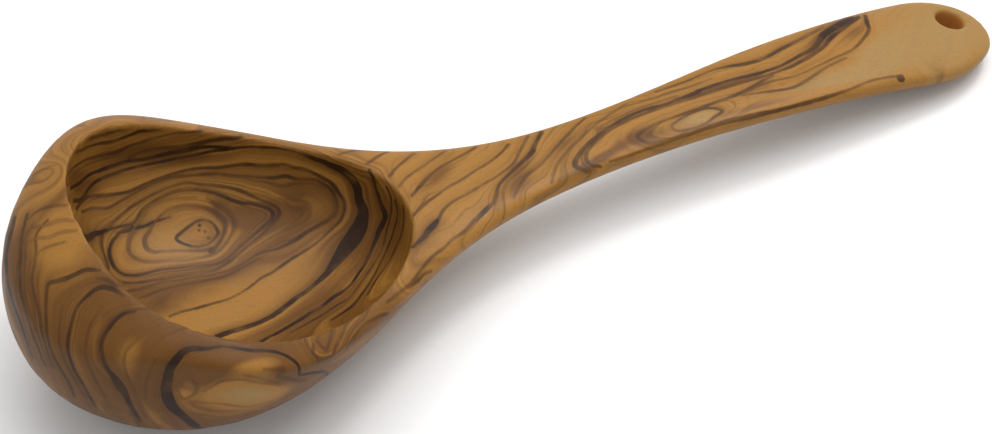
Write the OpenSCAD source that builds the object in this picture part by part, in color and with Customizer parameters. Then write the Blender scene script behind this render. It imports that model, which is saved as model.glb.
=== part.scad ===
// Hand-carved olive-wood ladle: one piece of wood, deep pear-shaped bowl, arched handle
// with a flat crown and a drilled hanging hole. Millimetres. Drawn level (rim roughly flat),
// then tipped to lie as it does on a table: on the bowl's belly and the end of the handle.

/* [Bowl] */
// how far the front lip stands ahead of the bowl's middle
lip_reach = 50; // [46:0.5:54]
// half width the bowl is carved to at its widest station
bowl_half = 53; // [50:0.5:58]
// wood below the widest line, at the deepest station
belly_drop = 50; // [49:0.5:58]
// roundness of the bowl's upper shoulder, 2 is a true ellipse
shoulder = 1.7; // [1.5:0.1:2.4]
// roundness of everything below the widest line
belly = 1.9; // [1.8:0.1:2.3]

/* [Hollow] */
// half length of the mouth
mouth_half_l = 45.5; // [40:0.5:46]
// half width of the mouth, before the taper
mouth_half_w = 41; // [36:0.5:42]
// middle of the mouth, toward the handle
mouth_mid = 12; // [10:0.5:13]
// how much the mouth narrows toward the handle
mouth_taper = 0.27; // [0.15:0.01:0.31]
// depth of the floor below the level line
hollow_depth = 36.5; // [28:0.5:38]
// the floor's lowest spot, ahead of the middle when negative
floor_mid = -1; // [-4:0.5:3]

/* [Handle] */
// bowl's middle to the tip of the handle
handle_reach = 247.5; // [220:0.5:280]
// half width at the waist
waist_half = 9.5; // [8.5:0.5:13]
// half width near the end
grip_half = 17; // [14:0.5:20]
// wood under the crown's edge along the handle
handle_under = 8; // [6:0.5:11]
// squareness of the crown, 2 is a true ellipse
crown = 3; // [2.2:0.1:4]
// how high the handle arches above the level line near its end
arch_rise = 24.5; // [16:0.5:30]

/* [Hanging hole] */
// drilled diameter
hole_d = 8.5; // [7:0.5:10]
// hole to the tip of the handle
hole_inset = 10; // [9.5:0.5:16]
// how far the drill wandered off the middle of the handle
hole_side = 3.5; // [-4:0.5:4]
// how far the drill leaned from upright to meet the crown square
hole_lean = 0; // [-10:1:10]
// width of the eased edge round the hole
hole_ease = 0.6; // [0.4:0.1:1.2]

/* [Fineness] */
// rings along each stretch between two stations
rings_each = 6; // [4:1:8]
// points round each ring, a multiple of four
ring_points = 40; // [32:4:48]
// layers down the hollow
hollow_layers = 18; // [12:1:24]

/* [Hidden] */

// Stations along the ladle: [x, half width, crown height, wood above the widest line, wood below].
// A smooth curve is drawn through the run of stations, pulled toward each one.
under = handle_under;
rise = arch_rise;
reach = handle_reach;
stations = [
    [-lip_reach, 0, -22, 0, 0],
    [-lip_reach, 19, -17, 8, 14.5],
    [-31, bowl_half - 12.5, 1.5, 9.5, belly_drop + 1],
    [-8.5, bowl_half, 0.5, 9, belly_drop],
    [12.5, bowl_half - 4.5, -5.5, 6, belly_drop - 12],
    [36.5, bowl_half - 17, -7, 4.5, belly_drop - 20.5],
    [59.5, waist_half + 12.5, -6.5, 4.5, under + 3.5],
    [91, waist_half + 1, -2.5, 3, under + 0.5],
    [131.5, waist_half, rise - 16.5, 2, under],
    [reach - 77.5, waist_half + 4, rise - 6.5, 2.5, under],
    [reach - 42, grip_half - 1.5, rise - 1.5, 2.5, under],
    [reach - 21, grip_half, rise, 3.5, under],
    [reach - 11, grip_half - 2, rise + 2, 3.5, under],
    [reach, 8, rise + 1, 1.5, under / 2],
    [reach, 0, rise + 0.5, 0, 0]
];
spans = len(stations) - 3;

// Cubic curve, clamped at both ends, over the run of stations.
function knot(i) = max(0, min(i - 3, spans));
function part_of(a, b) = b > 0 ? a / b : 0;
function pull(i, k, u) = k == 0
    ? (u >= knot(i) && u < knot(i + 1) ? 1 : 0)
    : part_of(u - knot(i), knot(i + k) - knot(i)) * pull(i, k - 1, u)
        + part_of(knot(i + k + 1) - u, knot(i + k + 1) - knot(i + 1)) * pull(i + 1, k - 1, u);
function station_at(u) = [for (i = [0:spans + 2]) pull(i, 3, u)] * stations;

// One ring round the ladle: a flattened crown above the widest line, a rounded belly below.
function bent(v, n) = sign(v) * pow(abs(v), 2 / n);
function crown_at(x) = shoulder + (crown - shoulder) * max(0, min(1, (x - 40) / 50));
function ring(s) = [
    for (k = [0:ring_points - 1])
        let (a = k * 360 / ring_points, n = sin(a) > 0 ? crown_at(s[0]) : belly)
            [s[0], s[1] * bent(cos(a), n), s[2] - s[3] + bent(sin(a), n) * (sin(a) > 0 ? s[3] : s[4])]
];
steps = spans * rings_each;
runs = [for (k = [1:steps - 1]) station_at(k / rings_each)];
rings = [for (s = runs) ring(s)];
lip = [stations[0][0], 0, stations[0][2]];
tip = [reach, 0, stations[spans + 2][2]];

// The steepest line that touches the belly and the end of the handle from below.
feet = [for (s = runs) [s[0], s[2] - s[3] - s[4]]];
lean = atan(min([
    for (h = feet) if (h[0] > reach / 2)
        max([for (b = feet) if (b[0] < 40) (h[1] - b[1]) / (h[0] - b[0])])
]));
function lie_x(p) = p[0] * cos(lean) + p[2] * sin(lean);
function lie_z(p) = p[2] * cos(lean) - p[0] * sin(lean);
far_x = max(lie_x(tip), max([for (r = rings) max([for (p = r) lie_x(p)])]));
near_x = min(lie_x(lip), min([for (r = rings) min([for (p = r) lie_x(p)])]));
low_z = min([for (r = rings) min([for (p = r) lie_z(p)])]);

// Hollow: the mouth's outline, wider at the lip, drawn in and forward layer by layer to the floor.
mouth_round = 2.2;
floor_round = 2.5;
rim_drop = 5;
below_rim = hollow_depth - rim_drop;
function mouth(f, z) = [
    for (k = [0:ring_points - 1])
        let (a = k * 360 / ring_points, c = bent(cos(a), mouth_round), v = bent(sin(a), mouth_round))
            [
                mouth_mid + (floor_mid - mouth_mid) * (1 - f) + mouth_half_l * f * c,
                mouth_half_w * f * v * (1 - mouth_taper * f * c),
                z
            ]
];
layers = concat(
    [mouth(1, 25)],
    [for (k = [0:hollow_layers - 1])
        let (a = 90 * k / hollow_layers)
            mouth(bent(cos(a), floor_round), -rim_drop - below_rim * bent(sin(a), floor_round))]
);

// A closed skin over a run of equal rings, with a point at each end.
module skin(list, first, last) {
    n = ring_points;
    m = len(list);
    polyhedron(
        points = concat([first], [for (r = list) for (p = r) p], [last]),
        faces = concat(
            [for (k = [0:n - 1]) [0, 1 + (k + 1) % n, 1 + k]],
            [for (j = [0:m - 2]) for (k = [0:n - 1])
                [1 + j * n + k, 1 + j * n + (k + 1) % n, 1 + (j + 1) * n + (k + 1) % n]],
            [for (j = [0:m - 2]) for (k = [0:n - 1])
                [1 + j * n + k, 1 + (j + 1) * n + (k + 1) % n, 1 + (j + 1) * n + k]],
            [for (k = [0:n - 1]) [1 + (m - 1) * n + k, 1 + (m - 1) * n + (k + 1) % n, 1 + m * n]]
        )
    );
}

module carved_blank() skin([for (k = [len(rings) - 1:-1:0]) rings[k]], tip, lip);

module hollow() skin(layers, [mouth_mid, 0, 25], [floor_mid, 0, -hollow_depth]);

module hanging_hole() {
    translate([reach - hole_inset, hole_side, rise - 4])
        rotate([0, hole_lean, 0]) {
            cylinder(h = 40, d = hole_d, center = true, $fn = 96);
            for (side = [0, 180])
                rotate([side, 0, 0])
                    translate([0, 0, 5 - hole_ease])
                        cylinder(h = 6, d1 = hole_d, d2 = hole_d + 12, $fn = 96);
        }
}

module ladle() {
    color("peru")
        translate([-(far_x + near_x) / 2, 0, -low_z])
            rotate([0, lean, 0])
                difference() {
                    carved_blank();
                    hollow();
                    hanging_hole();
                }
}

ladle();
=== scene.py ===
"""Olive-wood ladle on a pale table: one carved piece of oiled olive wood with dark growth lines."""

import math

import bpy
import numpy as np
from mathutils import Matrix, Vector
from mathutils.bvhtree import BVHTree


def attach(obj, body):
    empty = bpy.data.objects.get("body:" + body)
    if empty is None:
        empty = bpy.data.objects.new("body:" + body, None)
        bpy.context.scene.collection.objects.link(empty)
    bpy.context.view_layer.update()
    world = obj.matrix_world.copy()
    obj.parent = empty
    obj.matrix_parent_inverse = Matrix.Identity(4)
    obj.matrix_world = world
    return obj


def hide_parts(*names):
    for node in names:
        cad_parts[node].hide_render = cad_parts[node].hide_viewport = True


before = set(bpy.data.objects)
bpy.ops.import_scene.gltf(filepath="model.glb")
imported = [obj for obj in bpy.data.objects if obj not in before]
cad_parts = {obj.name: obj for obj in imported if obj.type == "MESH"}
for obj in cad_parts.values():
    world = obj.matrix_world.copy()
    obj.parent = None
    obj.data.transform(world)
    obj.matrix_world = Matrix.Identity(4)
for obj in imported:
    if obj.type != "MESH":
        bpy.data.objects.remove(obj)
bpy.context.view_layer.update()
MM = 0.001

# ---------------------------------------------------------------- carved form
# The form is the CAD solid itself, remeshed finely, so that its edges can be eased the way sanding
# eases them.
VOXEL = 0.5 * MM
SANDING_PASSES = 28
SANDING_STRENGTH = 0.5
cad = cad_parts["ladle"]


def sanded_copy(source, name):
    """A finely remeshed, smoothed copy of a CAD node."""
    obj = bpy.data.objects.new(name, source.data.copy())
    bpy.context.scene.collection.objects.link(obj)
    remesh = obj.modifiers.new("remesh", "REMESH")
    remesh.mode = "VOXEL"
    remesh.voxel_size = VOXEL
    sand = obj.modifiers.new("sand", "SMOOTH")
    sand.factor = SANDING_STRENGTH
    sand.iterations = SANDING_PASSES
    graph = bpy.context.evaluated_depsgraph_get()
    mesh = bpy.data.meshes.new_from_object(obj.evaluated_get(graph))
    obj.modifiers.clear()
    obj.data = mesh
    mesh.shade_smooth()
    return obj


ladle = sanded_copy(cad, "carved_ladle")
mesh = ladle.data
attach(ladle, "root")
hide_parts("ladle")

# ---------------------------------------------------------------- level frame
# The figure in the wood is laid out in millimetres on the ladle held level: x along it from the bowl's
# middle, y across, z up from the level line of the rim. As it lies on the table it is tipped by LEAN
# about Y and then moved by SHIFT.
LEAN = math.radians(16.524)
SHIFT = np.array((-94.294, 0.0, 52.398))
COS, SIN = math.cos(LEAN), math.sin(LEAN)
TIP = np.array(((COS, 0, SIN), (0, 1, 0), (-SIN, 0, COS)))


def to_level(points):
    """Row-frame metres to level-frame millimetres."""
    return (points / MM - SHIFT) @ TIP


count = len(mesh.vertices)
spots = np.empty(count * 3, np.float64)
mesh.vertices.foreach_get("co", spots)
spots = to_level(spots.reshape(-1, 3))
tree = BVHTree.FromPolygons(
    [tuple(p) for p in spots], [tuple(p.vertices) for p in mesh.polygons]
)

# Charts: each lets a flat pair of numbers (a, b) name a point of the wood.
# "top" and "under": millimetres along x and y, seen from this height above or below.
FLAT_CHARTS = {"top": 80.0, "under": -100.0}
# "bowl": degrees from straight down toward +x and +y, seen from a point in the hollow.
HOLLOW_EYE = np.array((10, 0, -4.0))
# "shell": degrees round the outside from -y toward -x, and then degrees up, looking in from
# SHELL_FAR away at a point in the bowl's heart.
SHELL_HEART = np.array((-5, 0, -15.0))
SHELL_FAR = 150


def land(chart, a, b):
    """The point of the wood that a chart's pair of numbers names, or None where it misses."""
    if chart == "bowl":
        off, turn = math.radians(math.hypot(a, b)), math.atan2(b, a)
        out = math.sin(off)
        ray = np.array((out * math.cos(turn), out * math.sin(turn), -math.cos(off)))
        origin = HOLLOW_EYE
    elif chart == "shell":
        a, b = math.radians(a), math.radians(b)
        ray = np.array((math.sin(a) * math.cos(b), math.cos(a) * math.cos(b), -math.sin(b)))
        origin = SHELL_HEART - ray * SHELL_FAR
    else:
        height = FLAT_CHARTS[chart]
        origin, ray = np.array((a, b, height)), np.array((0, 0, -math.copysign(1, height)))
    hit = tree.ray_cast(Vector(origin), Vector(ray))[0]
    return None if hit is None else np.array(hit)


# ---------------------------------------------------------------- figure of the wood
# Each growth line: (chart, ring number, [(a, b, half width in mm), ...], how dark it is), where
# nothing said of the darkness means PLAIN_DARK. The ring number rises outward from the knot in the
# bowl, and fine rings fill in between the lines by it; a stray mark has None. Points of no width
# only steer the rings.
LINES = [
    # rings round the knot in the bowl's floor
    ("bowl", 0, [(7.5, 40.5, 0)]),
    ("bowl", 1, [(-4, 40.5, .5), (0, 43, .3), (6, 45.5, .25), (9.5, 46, .3), (12.5, 45, .25),
                 (14.7, 43, .35), (15.7, 39, .4), (13, 37, .25), (8.7, 35.3, .2), (4, 35.5, .25),
                 (-1, 37.5, .4), (-4, 40.5, .5)], .8),
    ("bowl", 3, [(-6.5, 51, .25), (-3, 52.3, .3), (2.5, 53, .25), (7, 52.5, .25), (12, 51, .3),
                 (16, 48.5, .4), (18.5, 45.5, .5), (20.5, 42, .5), (18.7, 38.5, .4), (15, 35, .35),
                 (11.5, 32.3, .4), (9, 33, .3), (2.5, 34, .2), (-4, 35, .2), (-12.5, 35.5, .3),
                 (-16.5, 35.7, .5), (-18.5, 37.5, .7), (-18, 41, .6), (-15, 44, .5),
                 (-11.5, 47.5, .3), (-6.5, 51, .25)], .5),
    ("bowl", 4, [(10, 55, .15), (0, 56, .2), (-9.5, 54.3, .35), (-14.5, 51, .5), (-19, 47, .5),
                 (-23, 43, .6), (-26, 38, .5), (-26.5, 35, .5), (-24.5, 32.5, .5), (-20, 31, .35),
                 (-12, 31, .25), (-3, 30, .2), (4, 30, .2), (11, 30.5, .3), (18, 34, .3),
                 (22.5, 37.5, .35), (24.5, 41, .5), (23.5, 45, .5), (19, 50, .45),
                 (15, 53.5, .2)], .35),
    ("bowl", 6, [(-32, 39.5, .4), (-35, 35, .5), (-36, 30, .55), (-35.5, 27, .5), (-33.5, 25, .45),
                 (-29, 24.5, .4), (-24, 25.5, .3), (-17, 27, .25), (-9, 27, .2), (-1, 26.5, .2),
                 (8, 25.5, .2), (13.5, 26, .2), (18.5, 28, .2), (26, 31.3, .25), (30, 32.5, .25),
                 (36.5, 34.5, .35), (39.7, 35.5, .45), (41, 37, .5), (40.3, 39, .45),
                 (38, 41.5, .4), (33.5, 45, .35), (29.5, 47, .4), (25, 50.3, .45), (20, 54, .4),
                 (13.5, 57, .3), (7, 58.5, .25), (.5, 58.5, .3), (-6, 57, .3), (-12, 54.5, .25),
                 (-16, 52, .3), (-19, 48.5, .3), (-24, 45.7, .3), (-28.5, 42.5, .35),
                 (-32, 39.5, .4)], .75),
    ("bowl", 8, [(-38.5, 27, .35), (-38, 31, .35), (-37.5, 37, .35), (-35.5, 41.5, .3),
                 (-33, 43.5, .3), (-29, 47, .3), (-25, 50, .3), (-20.5, 53, .3), (-15.5, 55.5, .3),
                 (-9.5, 58, .25), (-3, 60, .2), (2.5, 61, .2), (7.5, 61, .2), (14, 59, .25),
                 (20.5, 57, .3), (27, 54, .3), (32.5, 50, .35), (37.5, 45, .3), (42.5, 39.5, .4),
                 (43.5, 36, .45), (41, 34.3, .4), (36.5, 32.3, .35), (32.7, 31, .3),
                 (27.5, 29.5, .25), (21, 27, .25), (15, 24.5, .3), (10, 23, .25), (5, 22, .25),
                 (-8.5, 22.5, .2), (-21, 22, .25), (-29, 21, .3), (-35, 20.5, .35)], .7),
    ("bowl", 9, [(45.5, 41, .15), (49.5, 38.5, .3), (52.8, 35.5, .5), (54.5, 32.3, .6),
                 (54, 29, .6), (51.7, 27.5, .4), (48, 27.5, .3), (43.7, 28, .25), (38.7, 28.3, .25),
                 (32.7, 27.5, .2), (27, 26.5, .2), (20.5, 24.7, .2)], .3),
    ("bowl", 10, [(-44, 47.7, .4), (-38, 50.5, .3), (-30.5, 52, .3), (-24.5, 55, .25),
                  (-15, 59.5, .25), (-6.5, 62.7, .25), (.5, 64, .25), (8, 63.7, .2), (15, 63, .3),
                  (22, 61.5, .35), (28, 59, .3), (34, 56.5, .25), (40.7, 53, .3), (46, 50, .4),
                  (51, 48, .45), (54, 45, .4), (57.5, 42, .3), (61.5, 39, .3), (63.2, 36, .35),
                  (65, 31.5, .4), (65, 27, .4), (64, 24, .35), (62.3, 22, .35), (59, 21.5, .35),
                  (55, 22, .4), (50, 22.5, .45), (46.5, 22, .5), (42.7, 22, .4), (38.3, 22, .35),
                  (33.5, 23, .3), (28.5, 23.4, .25), (22, 22, .25), (14, 20.2, .25), (8, 20.5, .2),
                  (3, 20.5, .2), (-4.5, 21, .2), (-11.5, 20.7, .2), (-19, 20.5, .25),
                  (-27, 18.5, .3), (-34, 17, .3)], .65),
    ("bowl", 10.4, [(29, 21.3, .15), (21, 20, .25), (15.5, 18.8, .3), (9.5, 17.8, .3),
                    (4.5, 18, .25), (-2.5, 18, .2), (-10, 18, .2), (-18, 17, .2), (-25.5, 15, .25),
                    (-32, 12.5, .2)], .7),
    ("bowl", 11, [(-48, 47.5, .4), (-41.5, 53, .4), (-35, 55.5, .3), (-25.5, 57.5, .3),
                  (-18.5, 59.3, .3), (-12, 62, .3), (-5.5, 64, .25), (1.5, 65.3, .25), (8, 66, .3),
                  (15, 65.5, .3), (22, 64, .3), (29, 62.7, .35), (35.5, 61, .4), (42, 57.7, .45),
                  (47.7, 55, .45), (52.5, 52.5, .3), (56, 49, .3), (60, 45.5, .3),
                  (62.5, 41.5, .35), (64.5, 37.4, .35), (66.5, 33, .4), (67, 27.5, .4),
                  (67, 23.5, .35), (65.7, 20.7, .35), (64, 19, .3), (61.5, 17.7, .3),
                  (56.7, 17, .25), (52, 16, .3), (45, 15, .35), (40, 14.5, .35), (31, 12, .3),
                  (25.5, 11, .3), (17.5, 7.7, .25), (7, 4.5, .2), (-1.5, 3.7, .3), (-8, 3, .35),
                  (-13, 2.5, .35), (-19, 2, .3), (-24.5, .5, .3)], .75),
    # the black band that sweeps round the bowl
    ("bowl", 13, [(-10, -17.5, .9), (-4, -16.5, .9), (4, -16, .85), (12, -15, .8), (20, -13, .8),
                  (28.5, -9.3, .75), (34.5, -6.5, .7), (39.5, -5, .7), (44.5, -2.7, .7),
                  (49, -.5, .9), (53.5, 2.3, 1.5), (58.7, 5.8, 2.3), (63.5, 8, 2.6),
                  (67.7, 10.6, 2.2), (70.8, 14, 1.6), (72, 19, 1.3), (74, 23, 1.3),
                  (74.5, 27.7, 1.3), (73.5, 33, 1.1), (71, 38, .9), (68.5, 42.7, .7),
                  (65.3, 47, .6), (61.6, 52, .4), (57.6, 56.5, .35), (52.4, 60.7, .3),
                  (46.5, 64, .3), (40.5, 67, .3), (34, 69, .35), (30, 69.8, .4), (20.5, 71.2, .35),
                  (13, 71.3, .35), (6, 71, .35), (-1, 70.5, .4), (-9, 69.3, .4), (-17, 67.6, .35),
                  (-23.8, 65.5, .45), (-30.5, 62.7, .5), (-36.5, 59.7, .5), (-40, 56.3, .4),
                  (-44.5, 52, .5), (-50, 49.7, .6)], 1),
    ("bowl", 14.5, [(30, 70.3, .3), (23.4, 72.5, .4), (16, 74, .5), (8.7, 74, .6), (1.5, 73.4, .6),
                    (-5, 72.6, .5), (-12, 71, .35), (-20, 69.7, .4), (-25.5, 67.8, .5),
                    (-32.5, 65, .5), (-40, 61.5, .4), (-47, 56.5, .4), (-53.5, 53, .5)], .9),
    ("bowl", 16, [(38, 73, .2), (33, 73.8, .5), (27.3, 75.3, .5), (20, 76, .5), (12, 76, .5),
                  (5, 75.6, .4), (-1.3, 75.6, .4), (-9, 75, .3), (-15, 73.4, .3),
                  (-20.5, 71, .3)], .6),
    ("bowl", 18, [(22, 81, .1), (16, 81.2, .25), (8.3, 81.5, .3), (.7, 81.5, .3), (-6.5, 80, .25),
                  (-13, 78, .3), (-20, 75.6, .35), (-25, 73, .4), (-30, 71, .4), (-38, 68.4, .3),
                  (-48, 64, .3), (-60.5, 56, .3)], .7),
    ("bowl", 20, [(-7, 83, .15), (-14, 82, .4), (-18.5, 81.3, .5), (-25.3, 78, .45),
                  (-32.6, 75, .5), (-41, 72.5, .4), (-52, 67.5, .35), (-58.5, 64.5, .15)], .7),
    ("bowl", 22.5, [(-25, 81, .1), (-31.5, 79.5, .35), (-39.8, 76.2, .35), (-46.5, 73.5, .3),
                    (-49.5, 71.5, .15)], .6),
    ("bowl", 15.5, [(5, -28, .5), (11, -26, .55), (15.3, -25, .55), (21.5, -23, .55),
                    (27.7, -21, .55), (34, -18.7, .55), (39.6, -17.4, .5), (45, -15, .6),
                    (49.6, -14, .55), (53.4, -12.6, .45), (57.5, -9.5, .5), (61.8, -6.6, .55),
                    (65.4, -3.7, .6), (68.5, -1, .7), (71.7, 1.5, .9), (75.7, 3, .9), (77, 5, .9),
                    (77.6, 8.4, .7), (78.7, 12, .6), (80.3, 16, .5), (82, 20, .5),
                    (82.5, 23.5, .5)], 1),
    ("bowl", 17, [(21, -27, .15), (31.4, -24.4, .25), (37, -23, .3), (44.6, -20.6, .3),
                  (50, -19.5, .2), (57, -14.5, .2), (61.5, -11.5, .25), (66, -8.5, .3),
                  (69.5, -6, .3), (73.4, -2.2, .3), (77.2, .6, .3), (80.3, 3, .35),
                  (82.7, 6.5, .35), (84, 11, .3)], .9),
    ("bowl", 19, [(38, -29, .3), (48, -26.3, .45), (53.4, -22.4, .35), (58.3, -18.7, .25),
                  (62.6, -15, .25), (66.4, -11.7, .3), (70.2, -9, .3), (73.7, -7, .3),
                  (76.7, -5, .35), (79.7, -3.3, .35), (82, -.5, .35), (83.5, 3, .35)], .9),
    ("bowl", 21, [(55, -25, .2), (60.6, -19.9, .25), (65.3, -17.6, .25), (69.4, -15.3, .25),
                  (73.6, -13.2, .3), (77.6, -11.7, .3), (82, -8, .3), (85, -4, .3)], .9),
    ("bowl", 13, [(-30, -20, 0), (-30, -40, 0)]),
    ("bowl", 15.5, [(-10, -35, 0), (-35, -55, 0)]),
    ("bowl", 18, [(0, -45, 0), (30, -38, 0), (-20, -65, 0)]),
    ("bowl", 21, [(0, -65, 0), (40, -50, 0), (60, -40, 0)]),
    # dark cracks beside the knot
    ("bowl", None, [(-47, 37, 1), (-43, 38.5, .95), (-39.7, 40.7, .8), (-35.4, 42.5, .55),
                    (-30.4, 44.6, .4), (-26.3, 45.8, .3), (-22.3, 46.8, .3), (-20.5, 45.5, .3)], 1),
    ("bowl", None, [(-29.3, 43, .15), (-24.4, 44.2, .4), (-21, 45.4, .5), (-15.6, 46.5, .4),
                    (-10, 48.3, .3), (-3.5, 49.3, .12)], 1),
    # neck, from the bowl's rim to the waist
    ("top", 21.5, [(50, 21.5, .3), (54, 22.3, .4), (58, 22.5, .3)], .55),
    ("top", 22, [(55, 15, .3), (60, 17.5, .4), (66, 20, .3)], .55),
    ("top", 22.8, [(58, 8, .3), (62, 11, .35), (70, 15.5, .35)], .55),
    ("top", 23.8, [(58.5, 3.5, .3), (63, 6.5, .3), (70, 9.5, .2), (78, 13, .2)], .55),
    ("top", 24.9, [(60, -1, .3), (65, 2.5, .5), (72, 6.5, .3), (82, 9.5, .3), (86, 11, .3)], .6),
    ("top", 26, [(57, -7.8, .3), (59.3, -6.4, .35), (62.7, -4.5, .35), (66.7, -2.8, .35),
                 (71.2, -1, .3), (75, 0, .3), (80.8, 2, .35), (86.6, 3.8, .35), (91, 5.8, .35),
                 (94.5, 8, .35)], .6),
    ("top", 27.6, [(62.8, -11, .35), (65, -9, .35), (67, -7.6, .3), (70, -6.4, .3), (77, -4.5, .3),
                   (82, -3, .25), (86.5, -1.7, .25), (91.7, .5, .3), (95, 3.5, .3),
                   (101, 9, .3)], .6),
    ("top", None, [(51.5, -18, .4), (53.5, -17, .5), (56, -15.7, .65), (58.3, -14, .8),
                   (61, -12.3, .8), (62.8, -11, .3)], .95),
    ("top", 28.6, [(46, -28.5, .3), (51.5, -24.5, .35), (55.8, -21.8, .35), (60, -20, .3),
                   (63.8, -18, .3), (67.5, -16.7, .35), (71, -14.8, .4), (75, -12.8, .6),
                   (77.5, -11.5, .6), (80, -10.3, .4)], .6),
    ("top", 29.2, [(80, -10.3, .4), (82, -8.2, .4), (84, -5.5, .4), (88, -3, .4), (94, 0, .5),
                   (98, 2, .7), (101, 5, .5), (105, 8.6, .5)], .6),
    ("top", 30.8, [(86, -10.5, .2), (92, -5.5, .3), (98, -3, .2), (105, 1, .25), (112, 5, .3),
                   (118, 8, .25)], .6),
    # handle, long loops open toward the end
    ("top", 32.4, [(150, 2.4, .6), (140, 2.2, .5), (132, 3, .5), (124, 2, .5), (116, -.5, .5),
                   (110, -3.5, .6), (106.5, -7, .7), (108.5, -9.6, .5)], .6),
    ("top", 33.4, [(165, 0, .3), (155, .4, .3), (145, 1, .3), (136, 1.6, .35), (128, 1.5, .4),
                   (120, 0, .3), (113, -3, .4), (110.3, -6, .5), (110.5, -8.5, .5),
                   (113, -9.6, .4)], .6),
    ("top", 35.6, [(172, -.8, .3), (160, -3.2, .5), (150, -3.4, .45), (141, -3.3, .4),
                   (134, -3.3, .35), (128.5, -4.2, .4), (126.5, -5.5, .45), (128, -8, .3),
                   (133, -9.3, .35), (140, -9.8, .3)], .6),
    ("top", 37.2, [(152, -7, .4), (149, -4.5, .3), (143, -4.2, .2), (137, -5.8, .2),
                   (138, -8.3, .2), (145, -9, .2), (149, -8, .3), (152, -7, .4)]),
    ("top", 32.9, [(155, .8, .25), (165, 0, .35), (175, 0, .4), (182, 1, .45), (189, 3, .45),
                   (193, 4.5, .5), (197, 7, .7), (201, 8.8, .5), (206, 11, .6), (211, 13, .7)], .6),
    ("top", 31.3, [(150, 2.8, .5), (160, 2.6, .4), (168, 1.6, .5), (176, 1.7, .4), (184, 3.5, .5),
                   (190, 5, .8), (196, 9, 1.1), (203, 11.5, 1.2), (209, 13.5, 1)], .75),
    ("top", 34.3, [(213.5, 13, .5), (211.5, 9.5, .6), (210, 6.5, .5), (206, 3.5, .35),
                   (200, .3, .3), (192, -1.2, .25), (185, -2.5, .25), (178, -3.5, .2),
                   (170, -2.8, .3), (160, -3.4, .3)], .6),
    ("top", 35.3, [(160, -4.2, .2), (166, -5.6, .3), (171, -6.8, .4), (176, -7.2, .4),
                   (182, -5.7, .35), (188, -3.8, .2), (196, -2.2, .15)], .6),
    ("top", 30, [(140, 8, .3), (150, 7.8, .3), (158, 8.5, .3), (163, 7.8, .5), (168, 6.6, .6),
                 (174, 6.4, .5), (182, 8.3, .5), (190, 10, .4), (198, 12.3, .3)], .6),
    ("top", 33.7, [(116, -9.4, .3), (125, -9.6, .3), (140, -10, .4), (150, -10.4, .6),
                   (158, -11.4, .7), (168, -12.5, .5), (180, -13.3, .5), (190, -13.3, .3),
                   (198, -12.6, .25), (204, -13, .3), (208, -13.6, .4)], .6),
    ("top", 30.3, [(128, 7, .2), (136, 6.2, .25), (146, 5.5, .25), (156, 5.4, .2)], .5),
    ("top", 33, [(118, 2.4, .2), (126, 3.8, .25), (134, 4.2, .25), (144, 3.6, .2)], .45),
    ("top", 31.6, [(98, -9.5, .3), (102, -5, .35), (107, -1.5, .35), (114, 2, .3), (122, 5.2, .25),
                   (130, 7.4, .2)], .45),
    ("top", 36.4, [(205, -10, 0), (212, -4, 0), (220, 3, 0), (228, 10, 0)]),
    ("top", 37.5, [(215, -13, 0), (224, -6, 0), (233, 3, 0)]),
    # shoulder, with its small swirl
    ("top", 27, [(8.5, -44.5, .35), (7.5, -47, .4), (9.5, -48.5, .4), (12.5, -47.5, .35),
                 (15.5, -44.7, .35), (18.8, -41.5, .3), (21, -39, .3), (25, -36.3, .25)], .6),
    ("top", 28, [(10, -43.5, .3), (11.5, -46, .35), (13, -44.5, .3), (14.5, -42.5, .25),
                 (16, -40.5, .2)], .6),
    ("top", 26, [(36, -33.5, .25), (43, -30, .4), (48, -28, .4), (51, -26.3, .35),
                 (53.7, -25.5, .3)], .6),
    ("top", 25, [(16, -46.5, .25), (21, -43, .3), (26, -39.5, .25), (31, -37.5, .3),
                 (37, -35.5, .35), (45, -32.5, .3)], .6),
    # outside of the bowl, the side toward the viewer
    ("shell", 22, [(-26, -8, .4), (-21.5, -3, .45), (-15.6, .5, .45), (-9.5, 2.5, .45),
                   (-8.4, 4.4, .4), (-7.5, 7, .4), (-4, 9.3, .45), (.6, 10.6, .45), (5, 11.2, .45),
                   (10, 11.9, .4), (14.5, 12.3, .35), (17.3, 12, .45), (20.2, 11.5, .55),
                   (24.5, 10.7, .75), (27.2, 9.3, .9), (29.2, 6.5, 1), (30, 3.7, 1.1), (30, 0, 1.2),
                   (29.6, -5.6, 1.4), (28, -10.8, 1.6), (25.6, -15.2, 1.6), (22, -19, 1.4),
                   (18, -24, 1.3), (14, -30, 1.2), (8, -38, 1)], 1),
    ("shell", 24, [(3.5, 7.6, .3), (-2.7, 6.6, .45), (-1.2, 4.8, .5), (-3.5, 3.4, .55),
                   (-7.8, 1, .5), (-13, -2, .4)], .4),
    ("shell", 25, [(9, 6, .2), (5, 4.9, .4), (1.4, 3.3, .4), (-2.5, 1.5, .3)], .35),
    ("shell", 26, [(19, -3, .2), (16.5, .5, .25), (14.5, 2.8, .3), (12, 3.8, .3), (8.7, 4.1, .25),
                   (4.5, 3, .25), (0, 1.7, .25), (-3.3, .3, .2)], .4),
    ("shell", 26.3, [(7, 0, 0), (3, -2, 0)]),
    ("shell", 24.5, [(22.5, 1, .3), (20.8, -2.5, .35), (21.5, -6, .35), (24, -8.5, .3),
                     (26, -5, .2)], .35),
    ("shell", 26, [(20, -9, .25), (12, -8, .3), (4, -9.5, .3), (-4, -8, .2)], .25),
    ("shell", 24, [(17, -16, .25), (8, -17, .3), (0, -13, .3)], .4),
    ("shell", 20.5, [(35, 5, .15), (36, -5, .2), (35, -14, .2)], .5),
    # the lip's outer face, toward the viewer's left
    ("shell", 18, [(47, 13.5, .2), (51, 11, .4), (53, 7, .5), (53.5, 2, .45), (51, -2, .5),
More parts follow.
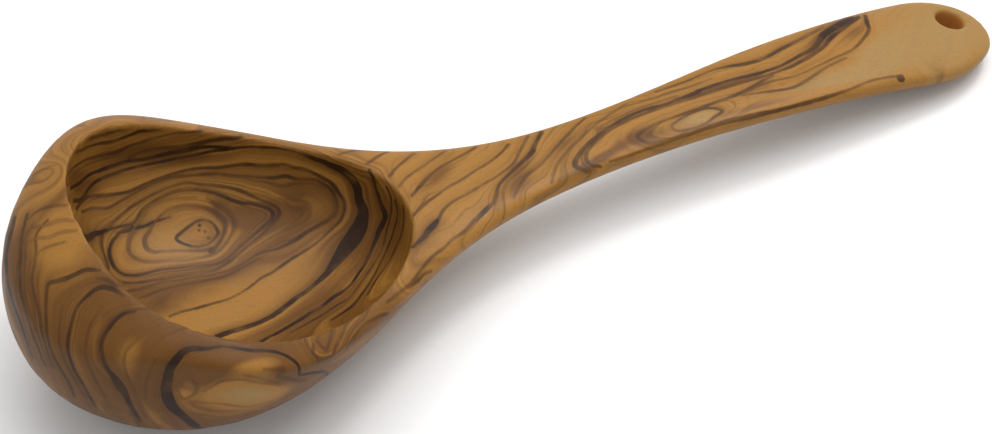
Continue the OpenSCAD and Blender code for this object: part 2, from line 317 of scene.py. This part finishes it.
                   (48.5, -5.5, .6), (46, -8, 1), (43.5, -11.5, 1.4), (41.5, -15, .9),
                   (39, -21, .6), (35, -32, .5)], .8),
    ("shell", 16.5, [(55, 15.5, .3), (61, 15, .6), (66, 13, .6), (68, 9, .5), (68.5, 4, .4),
                     (66, -1, .45), (63.5, -6, .5), (60, -12, .5), (55, -20, .5),
                     (52, -30, .4)], .7),
    ("shell", 15.5, [(60, 16.8, .3), (66, 16.2, .4), (70, 14.5, .3)], .6),
    ("shell", 15, [(72, 17, .3), (77, 14, .6), (79, 11, .6), (81, 7.5, .6), (83, 5, .6),
                   (84.5, 2.5, .45), (80, -1, .3), (76, -4, .35), (72, -8, .4), (67, -14, .5),
                   (62, -20, .5), (60, -28, .5)], .65),
    ("shell", 12.6, [(116, 6, .1), (109, 1, .2), (101, -3, .25), (93, -7, .25), (86, -11, .25),
                     (79, -17, .2), (73, -25, .1)], .6),
    ("shell", 13.6, [(108, 2, .1), (98, -1, .2), (89, -4.5, .25), (80, -8, .25), (74, -13, .25),
                     (69, -20, .2), (65, -28, .1)], .6),
    ("shell", 15.8, [(74, 2, .1), (69, -4, .2), (65, -9, .25), (60, -16, .25),
                     (56, -24, .15)], .55),
    ("shell", 17.2, [(60, 9, .1), (60, 3, .25), (57.5, -3, .25), (54, -9, .3), (50, -16, .25),
                     (46, -26, .1)], .55),
    ("shell", 19.2, [(42, 8, .1), (44.5, 3, .2), (43, -3, .2), (40, -9, .25), (37, -17, .2),
                     (33, -27, .1)], .4),
    ("shell", 14, [(113, 10, .3), (108.5, 5.5, .35), (99.5, 3.5, .3), (91.5, -.5, .35),
                   (84, -3, .35), (78, -5.5, .4), (72.5, -11, .4), (68, -18, .4)], .6),
    ("shell", 13, [(121, 4, .4), (112, 1, .5), (102.5, -1.5, .5), (95, -4, .5), (88, -6.5, .5),
                   (82.5, -9, .5), (77.5, -13, .5), (71.5, -20, .5)], .6),
    ("shell", 12, [(123, -1, .9), (117, -3, 1), (111, -6, 1), (104, -8, .9), (97, -10, .8),
                   (91, -12, .8), (84, -15.5, .7), (79, -22, .6)], .8),
    ("shell", None, [(97, 13, .2), (99, 9, .3), (100, 5, .25), (98, 1, .1)], .4),
    ("shell", None, [(100, 18, .3), (103, 13.5, .5), (104, 9, .5), (107, 5, .3), (108, 1, .1)], .2),
    ("shell", None, [(107, 18, .4), (110, 14, .6), (111, 9, .5), (113, 5, .3), (113, 2, .1)], .22),
    ("shell", None, [(118, 17, .3), (120, 12, .45), (120, 7, .35), (117, 2, .1)], .45),
    # hidden faces, a few rings so that the figure runs on sensibly
    ("shell", 11, [(143, 13, .1), (140, 5, .35), (134, -10, .45), (122, -24, .4), (108, -34, .3),
                   (90, -44, .1)], .5),
    ("shell", 12.5, [(167, 12, .1), (165, 5, .3), (160, -10, .4), (150, -28, .4),
                     (135, -42, .1)], .5),
    ("shell", 15, [(190, 9, .1), (191, 0, .4), (190, -14, .55), (186, -32, .5),
                   (176, -50, .1)], .6),
    ("shell", 17, [(214, 6, .1), (213, -4, .3), (210, -18, .35), (205, -36, .3),
                   (196, -52, .1)], .5),
    ("shell", 20, [(240, 5, .1), (238, -6, .3), (233, -20, .4), (225, -40, .35),
                   (214, -56, .1)], .55),
    ("under", 14, [(-12, 0, 0), (0, 12, 0)]),
    ("under", 20, [(10, -12, 0), (30, 8, 0)]),
    ("under", 24, [(45, -6, 0), (50, 6, 0)]),
    ("under", 29, [(70, 0, 0), (85, 0, 0)]),
    ("under", 32, [(105, 0, .3), (125, 2, .4), (150, 3, .4), (175, 5, .3)]),
    ("under", 34, [(110, -6, .2), (135, -4, .4), (165, -3, .5), (195, 0, .4), (220, 6, .3)]),
    ("under", 37, [(175, -9, .2), (200, -7, .4), (230, 0, .4)]),
]
# Round knots: (chart, a, b, radius in mm, darkness).
KNOTS = [
    ("bowl", 10, 32, 1.1, .45),
    ("bowl", 8.5, 44, .35, .6),
    ("bowl", 7.5, 42, .3, .5),
    ("bowl", 10, 41, .3, .5),
    ("bowl", 10.5, 38, .35, .6),
    ("top", 207.3, -14.2, 1.3, 1),
]
# Broad stains, pale places and darker patches: (chart, a, b, half length, half width, turn in degrees,
# tone added).
STAINS = [
    ("bowl", 47, 34, 7, 4.5, 0, -.5),
    ("bowl", 28, 41, 3.2, 2.6, 0, -.7),
    ("bowl", 20.5, 47, 3.5, 2, -60, -.8),
    ("bowl", 63, 3, 6, 3, 40, -.35),
    ("bowl", -10, 73, 16, 2.5, 0, -.45),
    ("bowl", -45, 57, 8, 3, 0, -.45),
    ("bowl", 16, 0, 34, 8, 16, .42),
    ("bowl", -12, -8, 20, 10, 0, .35),
    ("bowl", 4, 42, 14, 9, 0, .15),
    ("bowl", -25, 36, 12, 9, 0, .15),
    # darker over the bowl's inner wall toward the handle
    ("bowl", 76, 0, 9, 26, 0, -.5),
    ("bowl", -8, 40, 7, 4, 0, .2),
    ("top", 71, 4.5, 11, 3, 28, -.6),
    ("top", 90, -5, 12, 3.5, 36, -.65),
    ("top", 127, -5.5, 9, 3.5, -8, -.6),
    ("top", 112, -8, 9, 1.6, 10, -.7),
    ("top", 168, -10, 26, 1.6, -5, -.6),
    ("top", 108, 2, 8, 2, 25, -.4),
    ("top", 144, -6.8, 7, 2, -5, .8),
    ("top", 158, 1.5, 18, 1.5, 0, -.6),
    ("top", 194, 7.5, 15, 2.6, 30, -.7),
    ("top", 206, 7, 7, 4, 20, -.4),
    ("top", 172, -5, 12, 2, -6, -.3),
    ("top", 118, -4, 8, 1.5, 15, .2),
    ("top", 230, -2, 22, 18, 0, .5),
    ("top", 207, -4, 10, 5, 20, .6),
    ("top", 187, -9, 22, 3.5, 0, .7),
    ("top", 45, 6, 8, 4, 40, -.3),
    ("shell", 5, -3, 14, 6.5, 4, 1.1),
    ("shell", 17, 6, 9, 4, -20, -.9),
    ("shell", 22, 4, 4, 7, 0, -.4),
    ("shell", 9, 8.3, 9, 1.9, -12, .8),
    ("shell", -4, 4, 5, 4.5, 0, -.5),
    ("shell", 24, -6, 2.4, 1.8, 30, .4),
    ("shell", 24, 0, 2.2, 1.8, 0, .4),
    ("shell", 33.5, 3, 4.5, 13, 0, -1.1),
    ("shell", 41, 2, 7, 10, 0, .3),
    ("shell", 50, 10, 7, 3, 0, -.35),
    ("shell", 43, -14, 5, 7, 0, -.3),
    ("shell", 100, 12, 10, 8, 0, .6),
    ("shell", 108, -8, 8, 8, 0, -.35),
    ("shell", -14, 1, 5, 3, 0, -.3),
    # darker on the near outside, low and toward the handle
    ("shell", -12, -7, 9, 9, 0, -.4),
]


# ---------------------------------------------------------------- lines laid on the wood
PER_SPAN = 7  # fine points between one point of a line and the next
PLAIN_DARK = 0.8  # a line's darkness where the table gives none


def curve_through(points):
    """Catmull-Rom points through a list of (a, b, half width)."""
    p = np.array(points, float)
    if len(p) < 2:
        return p
    closed = np.allclose(p[0, :2], p[-1, :2])
    ends = (p[-2], p[1]) if closed else (2 * p[0] - p[1], 2 * p[-1] - p[-2])
    q = np.vstack((ends[0], p, ends[1]))
    fine = []
    for i in range(1, len(q) - 2):
        a, b, c, d = q[i - 1 : i + 3]
        for t in np.arange(PER_SPAN) / PER_SPAN:
            square, cube = 2 * a - 5 * b + 4 * c - d, 3 * b - a - 3 * c + d
            fine.append(0.5 * (2 * b + (c - a) * t + square * t**2 + cube * t**3))
    fine.append(q[-2])
    return np.array(fine)


# Every line as a stroke on the surface, and the points where a ring's number is known.
strokes, anchors, numbers = [], [], []
for chart, number, points, *said in LINES:
    fine = curve_through(points)
    landed = [land(chart, a, b) for a, b, _ in fine]
    drawn = [(p, half) for p, (_, _, half) in zip(landed, fine) if p is not None and half > 0]
    strokes.append((number, said[0] if said else PLAIN_DARK, drawn))
    if number is not None:
        known = [p for p in landed[::PER_SPAN] if p is not None]
        anchors += known
        numbers += [number] * len(known)
anchors, numbers = np.array(anchors), np.array(numbers, float)

# ---------------------------------------------------------------- growth rings
SPREAD = 4.0  # how rounded the rings turn at a line, in mm
GIVE = 0.5  # how far a line's number may yield to its neighbours
CHUNK = 20000  # points worked at a time


def kernel(p, q):
    """Multiquadric distance between two sets of points."""
    return np.sqrt(((p[:, None] - q[None]) ** 2).sum(-1) + SPREAD**2)


def flat(p):
    """The terms of an even rise across the wood."""
    return np.hstack((np.ones((len(p), 1)), p / 100))


def ring_numbers(points):
    """The ring number of every point, spread smoothly between the numbered lines."""
    n = len(anchors)
    system = np.zeros((n + 4, n + 4))
    system[:n, :n] = kernel(anchors, anchors) - GIVE * np.eye(n)
    system[:n, n:] = flat(anchors)
    system[n:, :n] = flat(anchors).T
    weights = np.linalg.lstsq(system, np.r_[numbers, np.zeros(4)], rcond=1e-10)[0]
    found = np.empty(len(points))
    for i in range(0, len(points), CHUNK):
        part = points[i : i + CHUNK]
        found[i : i + CHUNK] = kernel(part, anchors) @ weights[:n] + flat(part) @ weights[n:]
    return found


growth = ring_numbers(spots)

# ---------------------------------------------------------------- dark lines
REACH = 3.0  # how far from a line the wood still knows of it, in mm
SHADE_WIDTH = 1.5  # how fast the brown beside a line fades, in mm
LONGEST_STEP = 6.0  # a longer step of a line means that it has jumped across an edge, in mm
HAIRLINE = 0.35  # share of its darkness that a line of no width keeps
OLDER_SLOPE, OLDER_START = 2.5, 0.3  # how the brown keeps to the older side of a line

# inside: how far a point lies inside the nearest dark line, 0 on its edge, in millimetres.
# ink: how dark that line is. shade: the brown that gathers on the older side of a line.
inside, ink, shade = np.full(count, -REACH), np.zeros(count), np.zeros(count)


def around(low, high, among):
    """Which of some points lie within reach of a box."""
    return among[((spots[among] > low - REACH) & (spots[among] < high + REACH)).all(1)]


def draw_step(near, number, strength, a, b, half_a, half_b):
    """Marks the points near one straight step of a line, from a to b."""
    step = b - a
    close = around(np.minimum(a, b), np.maximum(a, b), near)
    t = np.clip((spots[close] - a) @ step / max(step @ step, 1e-9), 0, 1)
    half = half_a + (half_b - half_a) * t
    depth = half - np.linalg.norm(spots[close] - a - t[:, None] * step, axis=1)
    dark = strength * np.clip(HAIRLINE + half, 0, 1)
    nearer = depth > inside[close]
    inside[close[nearer]], ink[close[nearer]] = depth[nearer], dark[nearer]
    older = 1.0
    if number is not None:
        older = np.clip((number - growth[close]) * OLDER_SLOPE + OLDER_START, 0, 1)
    soft = dark * older * np.exp(np.minimum(depth, 0) / SHADE_WIDTH)
    shade[close] = np.maximum(shade[close], soft)


for number, strength, stroke in strokes:
    if len(stroke) < 2:
        continue
    track = np.array([p for p, _ in stroke])
    near = around(track.min(0), track.max(0), np.arange(count))
    for (a, half_a), (b, half_b) in zip(stroke[:-1], stroke[1:]):
        if (b - a) @ (b - a) <= LONGEST_STEP**2:
            draw_step(near, number, strength, a, b, half_a, half_b)
for chart, a, b, radius, dark in KNOTS:
    depth = radius - np.linalg.norm(spots - land(chart, a, b), axis=1)
    nearer = depth > inside
    inside[nearer], ink[nearer] = depth[nearer], dark

# ---------------------------------------------------------------- stains and pale places
# The bowl is coloured darker than the handle, partly the wood's own deeper tone and partly painted
# shade for the dimmer light in and around the bowl: by how much, the x at which that ends, and over
# what length it fades. On the far side part of that is taken back, from this y on and over this width.
BOWL_DARKER, BOWL_ENDS, BOWL_FADE = 0.55, 62, 26
FAR_SHARE, FAR_FROM, FAR_FADE = 0.55, 8, 24
STAIN_THICK = 8  # how far a stain reaches through the wood, in mm
COMPASS_STEP = 3.0  # degrees along a chart that show which way its axes run

x, y = spots[:, 0], spots[:, 1]
far_side = FAR_SHARE * np.clip((y - FAR_FROM) / FAR_FADE, 0, 1)
# darker over the bowl, partly painted shade
tone = -BOWL_DARKER * np.clip((BOWL_ENDS - x) / BOWL_FADE, 0, 1) * (1 - far_side)
# clear: how far a pale place hushes the rings and bands there.
clear = np.zeros(count)


def unit(v):
    """The vector at length 1."""
    return v / np.linalg.norm(v)


def chart_axes(chart, a, b, p):
    """Unit vectors along a chart's two numbers at a point of the wood."""
    if chart in FLAT_CHARTS:
        return np.eye(3)[0], np.eye(3)[1]
    right = unit(land(chart, a + COMPASS_STEP, b) - p)
    ahead = unit(land(chart, a, b + COMPASS_STEP) - p)
    return right, unit(ahead - right * (right @ ahead))


for chart, a, b, long, wide, turn, add in STAINS:
    p = land(chart, a, b)
    right, ahead = chart_axes(chart, a, b, p)
    c, s = math.cos(math.radians(turn)), math.sin(math.radians(turn))
    off = spots - p
    da, db, dn = off @ right, off @ ahead, off @ np.cross(right, ahead)
    r2 = (
        ((da * c + db * s) / long) ** 2
        + ((db * c - da * s) / wide) ** 2
        + (dn / STAIN_THICK) ** 2
    )
    spot = add * np.exp(-np.clip(r2, 0, 30))
    tone += spot
    clear += np.maximum(spot, 0)

# The drilled hole, upright in the level frame: where its axis stands, half its width, and the
# distances over which the raw wood inside it gives way to the oiled face.
HOLE, HOLE_HALF = (237.5, 3.5), 4.25
HOLE_RIM, HOLE_FADE = 0.3, 0.5
from_hole = np.hypot(*(spots[:, :2] - HOLE).T)
bored = np.clip((HOLE_HALF + HOLE_RIM - from_hole) / HOLE_FADE, 0, 1)

# Everything that the material reads, kept on the points of the mesh.
for name, values in (
    ("growth", growth), ("inside", inside), ("ink", ink), ("shade", shade),
    ("tone", tone), ("clear", clear), ("bored", bored),
):
    layer = mesh.attributes.new(name, "FLOAT", "POINT")
    layer.data.foreach_set("value", values.astype(np.float32))

# ---------------------------------------------------------------- oiled olive wood
wood = bpy.data.materials.new("oiled_olive_wood")
wood.use_nodes = True
nodes, links = wood.node_tree.nodes, wood.node_tree.links
skin = nodes["Principled BSDF"]


def node(kind, inputs=None, **settings):
    """A shader node with its settings, and its inputs set or linked."""
    made = nodes.new(kind)
    for key, value in settings.items():
        setattr(made, key, value)
    for key, value in (inputs or {}).items():
        if isinstance(value, bpy.types.NodeSocket):
            links.new(value, made.inputs[key])
        else:
            made.inputs[key].default_value = value
    return made


def maths(op, *values):
    """A sum of numbers or linked values."""
    return node("ShaderNodeMath", dict(enumerate(values)), operation=op).outputs[0]


def ramp(value, low, high, to_low=0.0, to_high=1.0):
    """A smooth step from to_low where the value is low to to_high where it is high."""
    inputs = {0: value, 1: low, 2: high, 3: to_low, 4: to_high}
    return node("ShaderNodeMapRange", inputs, interpolation_type="SMOOTHSTEP").outputs[0]


def mix(share, a, b, blend="MIX"):
    """Colour b laid over colour a."""
    made = nodes.new("ShaderNodeMix")
    made.data_type, made.blend_type = "RGBA", blend
    for socket, value in ((made.inputs[0], share), (made.inputs[6], a), (made.inputs[7], b)):
        if isinstance(value, bpy.types.NodeSocket):
            links.new(value, socket)
        else:
            socket.default_value = value
    return made.outputs[2]


def stored(name):
    """One of the values kept on the points of the mesh."""
    return node("ShaderNodeAttribute", attribute_name=name).outputs["Fac"]


def noise(vector, scale, detail=2.0, rough=0.5, w=None):
    """A cloudy value about 0.5, in four dimensions where w is given."""
    inputs = {"Vector": vector, "Scale": scale, "Detail": detail, "Roughness": rough}
    dimensions = "3D"
    if w is not None:
        inputs["W"], dimensions = w, "4D"
    return node("ShaderNodeTexNoise", inputs, noise_dimensions=dimensions).outputs["Fac"]


def push(value, cloud, amount):
    """A value pushed up and down by a noise."""
    return maths("MULTIPLY_ADD", maths("SUBTRACT", cloud, 0.5), amount, value)


# Two ways to place a noise: evenly, and drawn out along the fibres, which run along the level ladle.
FIBRE_STRETCH = (60, 260, 260)
place = node("ShaderNodeTexCoord").outputs["Object"]
mapping = {"Vector": place, "Scale": FIBRE_STRETCH, "Rotation": (0, LEAN, 0)}
along = node("ShaderNodeMapping", mapping).outputs[0]
growth_here, ink_here = stored("growth"), stored("ink")


def rings(rate, sharp, seed):
    """Growth rings: each darkens slowly and ends at a crisp edge, and no two are equally dark."""
    # they wander over centimetres and tremble over millimetres
    wandering = push(growth_here, noise(place, 40, 2), 0.7)
    trembling = push(wandering, noise(place, 300, 1), 0.14)
    number = maths("ADD", maths("MULTIPLY", trembling, rate), seed)
    phase, which = maths("FRACT", number), maths("FLOOR", number)
    rise = maths("MULTIPLY", ramp(phase, sharp, 0.93), ramp(phase, 1.0, 0.9))
    # each has its own darkness and its own gaps, and pale places show few
    own = node("ShaderNodeTexWhiteNoise", {"W": which}, noise_dimensions="1D").outputs["Value"]
    fade = ramp(noise(place, 30, 1.0, w=maths("MULTIPLY", which, 3.7)), 0.36, 0.62)
    shown = maths("MULTIPLY", fade, ramp(stored("clear"), 0.03, 0.35, 1.0, 0.1))
    return maths("MULTIPLY", rise, maths("MULTIPLY", shown, ramp(own, 0.15, 0.8)))


# Colours, from the palest wood to the blackest line, then the glow of the fibres and the freshly
# cut wood inside the hole.
PALE = (0.272, 0.172, 0.060, 1)
HONEY = (0.280, 0.139, 0.027, 1)
TAN = (0.120, 0.052, 0.0090, 1)
BROWN = (0.068, 0.029, 0.0060, 1)
DEEP = (0.034, 0.0145, 0.0040, 1)
UMBER = (0.015, 0.0065, 0.0028, 1)
AMBER = (0.5, 0.27, 0.09, 1)
RAW = (0.38, 0.135, 0.022, 1)

# the ground: broad bands that follow the growth, with the stains and pale places
drift = maths("MULTIPLY", push(growth_here, noise(place, 60, 3.0), 0.7), 0.07)
band = noise(place, 16, 2.5, 0.55, w=drift)
calm = ramp(stored("clear"), 0.05, 0.4, 1.3, 0.3)
swing = maths("MULTIPLY", maths("SUBTRACT", band, 0.5), calm)
patchy = maths("ADD", maths("ADD", swing, 0.55), stored("tone"))
base = mix(ramp(patchy, 0.5, 1.15), mix(ramp(patchy, -0.1, 0.5), TAN, HONEY), PALE)

# growth rings, the finest first: (rings to one number, where each starts to darken, seed, strength)
for rate, sharp, seed, strength in ((7.0, 0.7, 0.7, 0.3), (2.6, 0.7, 0.4, 0.5), (1.0, 0.6, 0.0, 0.62)):
    base = mix(maths("MULTIPLY", rings(rate, sharp, seed), strength), base, DEEP)

# drawn lines over the brown beside them, their edges broken up a little
base = mix(maths("MULTIPLY", stored("shade"), 0.7), base, BROWN)
frayed = push(push(stored("inside"), noise(along, 3.0, 3), 0.32), noise(place, 330, 3.0), 0.3)
line = ramp(frayed, maths("MULTIPLY_ADD", ink_here, 0.45, -0.65), 0.16)
worn = ramp(noise(place, 130, 2), 0.3, 0.6, 0.65, 1.0)
covers = maths("MULTIPLY", ramp(ink_here, 0, 0.65, 0.35, 0.97), worn)
base = mix(maths("MULTIPLY", line, covers), base, mix(ramp(ink_here, 0.2, 0.8), BROWN, UMBER))

# fibres, pores and the hole
fibre = noise(along, 9.0, 4, 0.6)
pore = ramp(noise(along, 24.0, 1, 0.5), 0.66, 0.74)
base = mix(ramp(fibre, 0.3, 0.75, 0.0, 0.4), base, AMBER, "SOFT_LIGHT")
base = mix(ramp(fibre, 0.55, 0.3, 0.0, 0.22), base, DEEP)
base = mix(maths("MULTIPLY", pore, 0.3), base, BROWN)
base = mix(stored("bored"), base, RAW)

# a satin of oil over the wood, and the faint relief of its grain
GRAIN_DEPTH = 0.12 * MM
lift = maths("MULTIPLY_ADD", pore, -0.6, maths("MULTIPLY", fibre, 0.5))
bump = node("ShaderNodeBump", {"Height": lift, "Distance": GRAIN_DEPTH, "Strength": 0.5})
links.new(base, skin.inputs["Base Color"])
links.new(ramp(fibre, 0.2, 0.8, 0.40, 0.52), skin.inputs["Roughness"])
links.new(bump.outputs[0], skin.inputs["Normal"])
skin.inputs["Specular IOR Level"].default_value = 0.12
skin.inputs["Coat Weight"].default_value = 0.08
skin.inputs["Coat Roughness"].default_value = 0.3
mesh.materials.clear()
mesh.materials.append(wood)

# ---------------------------------------------------------------- table
TABLE_HALF = 4.0
PAPER = (0.76, 0.76, 0.76, 1)
corners = [(TABLE_HALF * i, TABLE_HALF * j, 0) for i, j in ((-1, -1), (1, -1), (1, 1), (-1, 1))]
table_mesh = bpy.data.meshes.new("table")
table_mesh.from_pydata(corners, [], [(0, 1, 2, 3)])
table = bpy.data.objects.new("table", table_mesh)
bpy.context.scene.collection.objects.link(table)
paper = bpy.data.materials.new("pale_table")
paper.use_nodes = True
paper.node_tree.nodes["Principled BSDF"].inputs["Base Color"].default_value = PAPER
paper.node_tree.nodes["Principled BSDF"].inputs["Roughness"].default_value = 0.9
table_mesh.materials.append(paper)

# ---------------------------------------------------------------- light
STUDIO_GLOW = 0.75
world = bpy.data.worlds.new("studio")
bpy.context.scene.world = world
world.use_nodes = True
world.node_tree.nodes["Background"].inputs["Color"].default_value = (1, 1, 1, 1)
world.node_tree.nodes["Background"].inputs["Strength"].default_value = STUDIO_GLOW
bpy.context.scene.view_settings.view_transform = "Standard"


def softbox(name, spot, toward, size, watts):
    """A square area light at a spot, turned toward a point."""
    light = bpy.data.lights.new(name, "AREA")
    light.size = size
    light.energy = watts
    obj = bpy.data.objects.new(name, light)
    obj.location = spot
    obj.rotation_euler = (Vector(toward) - Vector(spot)).to_track_quat("-Z", "Y").to_euler()
    bpy.context.scene.collection.objects.link(obj)


softbox("overhead", (0.25, 0.15, 1.1), (-0.02, 0, 0.02), 1.3, 13)
softbox("window", (0.57, 0.22, 0.86), (-0.09, 0.01, 0.03), 0.2, 2.4)

# ---------------------------------------------------------------- camera
AZIMUTH, ELEVATION, DISTANCE = math.radians(-28.87), math.radians(46.9), 0.79443
AIM = Vector((-0.01246, 0, 0.00703))
level = math.cos(ELEVATION)
back = Vector((math.sin(AZIMUTH) * level, -math.cos(AZIMUTH) * level, math.sin(ELEVATION)))
camera = bpy.data.objects.new("camera", bpy.data.cameras.new("camera"))
camera.location = AIM + back * DISTANCE
camera.rotation_euler = back.to_track_quat("Z", "Y").to_euler()
camera.data.lens = 105.24
camera.data.sensor_width = 36
camera.data.clip_start = 0.01
bpy.context.scene.collection.objects.link(camera)
bpy.context.scene.camera = camera
